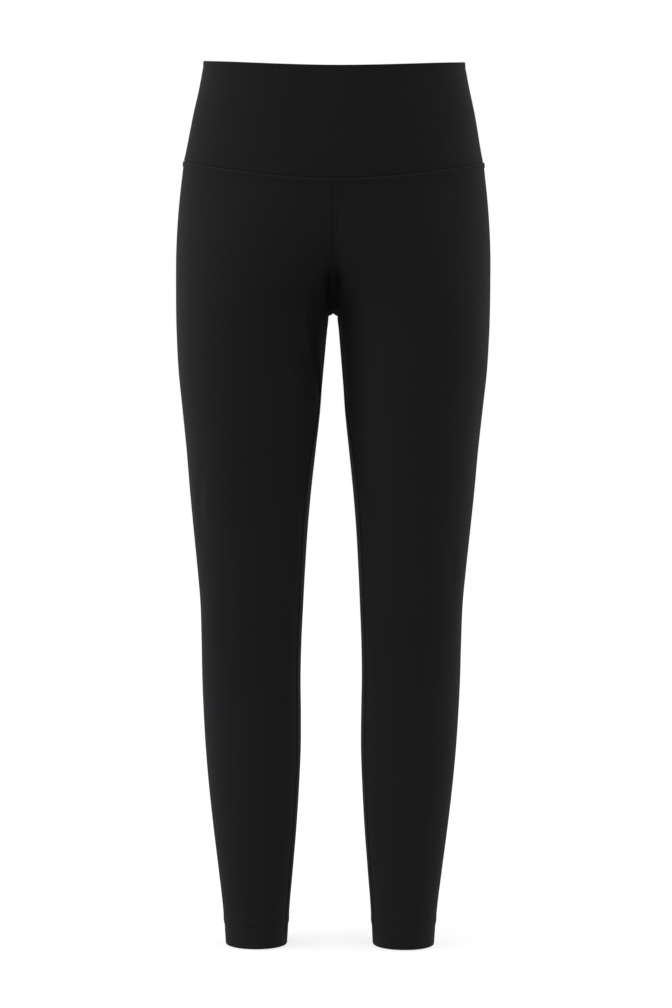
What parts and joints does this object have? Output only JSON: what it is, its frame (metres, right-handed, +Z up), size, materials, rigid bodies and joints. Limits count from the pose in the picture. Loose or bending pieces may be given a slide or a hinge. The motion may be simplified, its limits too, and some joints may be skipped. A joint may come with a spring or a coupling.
{
  "type": "leggings",
  "caption": "High-waisted full-length leggings in black knit with a wide doubled waistband, hollow and filled out as worn.",
  "frame": {"origin": "centre of the waist opening, level with its top edge at the sides", "axes": "+Z up, -Y the front, +X the wearer's left"},
  "size_m": [0.3536, 0.2392, 0.998],
  "materials": {
    "legs": "matte brushed knit",
    "waistband": "matte brushed knit, doubled"
  },
  "bodies": {
    "root": {"waistband_front": "waistband", "waistband_back": "waistband", "leg_left": "legs", "leg_right": "legs"}
  },
  "joints": []
}
